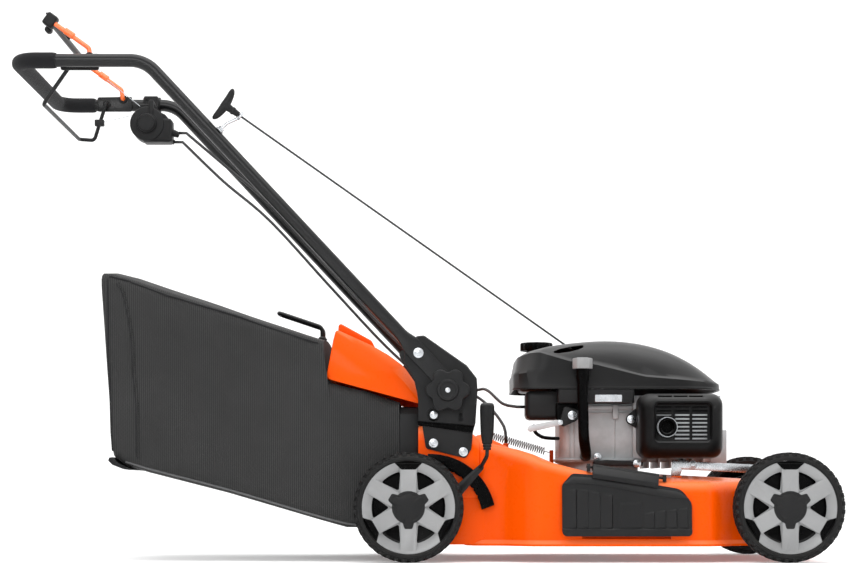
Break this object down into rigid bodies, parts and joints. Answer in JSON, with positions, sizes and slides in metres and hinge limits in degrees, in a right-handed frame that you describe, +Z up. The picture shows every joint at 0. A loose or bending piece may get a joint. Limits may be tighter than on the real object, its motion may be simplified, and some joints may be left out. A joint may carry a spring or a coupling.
{
  "type": "lawn mower",
  "caption": "Self-propelled walk-behind petrol lawn mower with a pressed deck, rear grass bag, folding handle with two bails, side flap and a linked height adjuster.",
  "frame": {"origin": "on the ground under the middle of the whole machine", "axes": "+X forward, +Y the mower's left side, +Z up"},
  "size_m": [1.5957, 0.57, 1.058],
  "materials": {
    "orange_enamel": "gloss enamel",
    "black_plastic": "fine grain",
    "dark_steel": "dark powder coat",
    "zinc_steel": "zinc plated",
    "cast_aluminium": "sand cast",
    "grey_plastic": "moulded",
    "tyre_rubber": "lumpy tread",
    "grip_foam": "foam",
    "bag_cloth": "woven polyester",
    "rope_braid": "braided cord"
  },
  "bodies": {
    "chassis": {"deck": "orange_enamel", "engine_block": "cast_aluminium", "cylinder_head": "cast_aluminium", "engine_shroud": "black_plastic", "fuel_tank": "black_plastic", "air_cleaner": "black_plastic", "muffler": "zinc_steel", "muffler_guard": "black_plastic", "oil_filler_tube": "black_plastic", "belt": "black_plastic", "gearbox": "black_plastic", "flap_hinge": "dark_steel", "handle_bracket_right": "dark_steel", "handle_bracket_left": "dark_steel", "bracket_cover_right": "black_plastic", "bracket_cover_left": "black_plastic", "height_quadrant": "black_plastic", "starter_rope": "rope_braid", "lift_spring": "zinc_steel", "front_brace": "zinc_steel", "brake_cable": "black_plastic", "drive_cable": "black_plastic"},
    "fuel_cap": {"fuel_cap": "black_plastic"},
    "oil_cap": {"oil_cap": "grey_plastic"},
    "side_flap": {"side_flap": "black_plastic"},
    "rear_flap": {"rear_flap": "orange_enamel"},
    "bag": {"bag_fabric": "bag_cloth", "bag_frame": "black_plastic", "bag_handle": "black_plastic"},
    "rear_crank": {"rear_axle_crank": "dark_steel", "height_lever": "dark_steel", "height_grip": "black_plastic"},
    "front_crank": {"front_axle_crank": "dark_steel"},
    "height_link": {"height_link": "dark_steel"},
    "crankshaft": {"crankshaft": "zinc_steel", "drive_pulley": "zinc_steel", "blade": "dark_steel"},
    "driven_pulley": {"driven_pulley": "black_plastic"},
    "drive_shaft": {"drive_shaft": "zinc_steel"},
    "handlebar": {"handlebar": "dark_steel", "foam_grip": "grip_foam", "rope_guide": "zinc_steel", "control_box": "black_plastic"},
    "brake_bail": {"brake_bail": "dark_steel"},
    "drive_bail": {"drive_bail": "orange_enamel"},
    "starter_grip": {"starter_grip": "black_plastic"},
    "knob_right": {"knob_right": "black_plastic"},
    "knob_left": {"knob_left": "black_plastic"},
    "rear_right_wheel": {"tyre_rear_right": "tyre_rubber", "rim_rear_right": "grey_plastic", "hub_cap_rear_right": "black_plastic"},
    "rear_left_wheel": {"tyre_rear_left": "tyre_rubber", "rim_rear_left": "grey_plastic", "hub_cap_rear_left": "black_plastic"},
    "front_right_wheel": {"tyre_front_right": "tyre_rubber", "rim_front_right": "grey_plastic", "hub_cap_front_right": "black_plastic"},
    "front_left_wheel": {"tyre_front_left": "tyre_rubber", "rim_front_left": "grey_plastic", "hub_cap_front_left": "black_plastic"}
  },
  "joints": [
    {"name": "cutting_height", "type": "hinge", "parent": "chassis", "child": "rear_crank", "pos_m": [0.0106, 0, 0.0809], "axis": [0, 1, 0], "range_deg": [-30, 30]},
    {"name": "front_crank_turn", "type": "hinge", "parent": "chassis", "child": "front_crank", "pos_m": [0.7337, 0, 0.0809], "axis": [0, 1, 0], "range_deg": [-30, 30]},
    {"name": "height_link_turn", "type": "hinge", "parent": "rear_crank", "child": "height_link", "pos_m": [0.0106, 0.14, 0.0999], "axis": [0, 1, 0], "range_deg": [-30, 30]},
    {"name": "rear_right_wheel_turn", "type": "hinge", "parent": "rear_crank", "child": "rear_right_wheel", "pos_m": [-0.0302, 0, 0.105], "axis": [0, 1, 0], "continuous": true},
    {"name": "rear_left_wheel_turn", "type": "hinge", "parent": "rear_crank", "child": "rear_left_wheel", "pos_m": [-0.0302, 0, 0.105], "axis": [0, 1, 0], "continuous": true},
    {"name": "front_right_wheel_turn", "type": "hinge", "parent": "front_crank", "child": "front_right_wheel", "pos_m": [0.6929, 0, 0.105], "axis": [0, 1, 0], "continuous": true},
    {"name": "front_left_wheel_turn", "type": "hinge", "parent": "front_crank", "child": "front_left_wheel", "pos_m": [0.6929, 0, 0.105], "axis": [0, 1, 0], "continuous": true},
    {"name": "crankshaft_turn", "type": "hinge", "parent": "chassis", "child": "crankshaft", "pos_m": [0.35, 0, 0.1], "axis": [0, 0, 1], "continuous": true},
    {"name": "driven_pulley_turn", "type": "hinge", "parent": "chassis", "child": "driven_pulley", "pos_m": [0.048, 0, 0.111], "axis": [0, 0, 1], "continuous": true},
    {"name": "drive_shaft_turn", "type": "hinge", "parent": "chassis", "child": "drive_shaft", "pos_m": [0.0106, 0, 0.0809], "axis": [0, 1, 0], "continuous": true},
    {"name": "handle_fold", "type": "hinge", "parent": "chassis", "child": "handlebar", "pos_m": [0.0446, 0, 0.3286], "axis": [0, 1, 0], "range_deg": [0, 105], "deforming": ["starter_rope", "brake_cable", "drive_cable"]},
    {"name": "brake_bail_swing", "type": "hinge", "parent": "handlebar", "child": "brake_bail", "pos_m": [-0.68, 0, 0.9615], "axis": [0, 1, 0], "range_deg": [0, 43], "stiffness_Nm_per_rad": 0.6, "springref_deg": -45.84},
    {"name": "drive_bail_swing", "type": "hinge", "parent": "handlebar", "child": "drive_bail", "pos_m": [-0.645, 0, 0.972], "axis": [0, 1, 0], "range_deg": [-35, 0], "stiffness_Nm_per_rad": 0.6, "springref_deg": 51.57},
    {"name": "starter_pull", "type": "slide", "parent": "handlebar", "child": "starter_grip", "axis": [-0.81, -0.2135, 0.5463], "range_m": [0, 0.5], "stiffness_N_per_m": 12, "springref_m": -0.35},
    {"name": "knob_right_turn", "type": "hinge", "parent": "chassis", "child": "knob_right", "pos_m": [0.0446, 0, 0.3286], "axis": [0, -1, 0], "range_deg": [0, 180]},
    {"name": "knob_left_turn", "type": "hinge", "parent": "chassis", "child": "knob_left", "pos_m": [0.0446, 0, 0.3286], "axis": [0, 1, 0], "range_deg": [0, 180]},
    {"name": "fuel_cap_turn", "type": "hinge", "parent": "chassis", "child": "fuel_cap", "pos_m": [0.229, 0.06, 0.43], "axis": [0, 0, 1], "range_deg": [0, 90]},
    {"name": "oil_cap_turn", "type": "hinge", "parent": "chassis", "child": "oil_cap", "pos_m": [0.307, -0.173, 0.374], "axis": [0, 0, 1], "range_deg": [0, 90]},
    {"name": "side_flap_swing", "type": "hinge", "parent": "chassis", "child": "side_flap", "pos_m": [0.3855, -0.246, 0.1715], "axis": [-0.9885, 0, 0.1513], "range_deg": [0, 80], "stiffness_Nm_per_rad": 0.3, "springref_deg": -68.75},
    {"name": "rear_flap_swing", "type": "hinge", "parent": "chassis", "child": "rear_flap", "pos_m": [0.004, 0, 0.316], "axis": [0, 1, 0], "range_deg": [0, 60], "stiffness_Nm_per_rad": 0.8, "springref_deg": -45.84},
    {"name": "bag_removal", "type": "slide", "parent": "chassis", "child": "bag", "axis": [-1, 0, 0], "range_m": [0, 0.35]}
  ],
  "couplings": [
    {"joint": "front_crank_turn", "follows": "cutting_height", "ratio": 1},
    {"joint": "height_link_turn", "follows": "cutting_height", "ratio": -1},
    {"joint": "driven_pulley_turn", "follows": "crankshaft_turn", "ratio": 1}
  ]
}
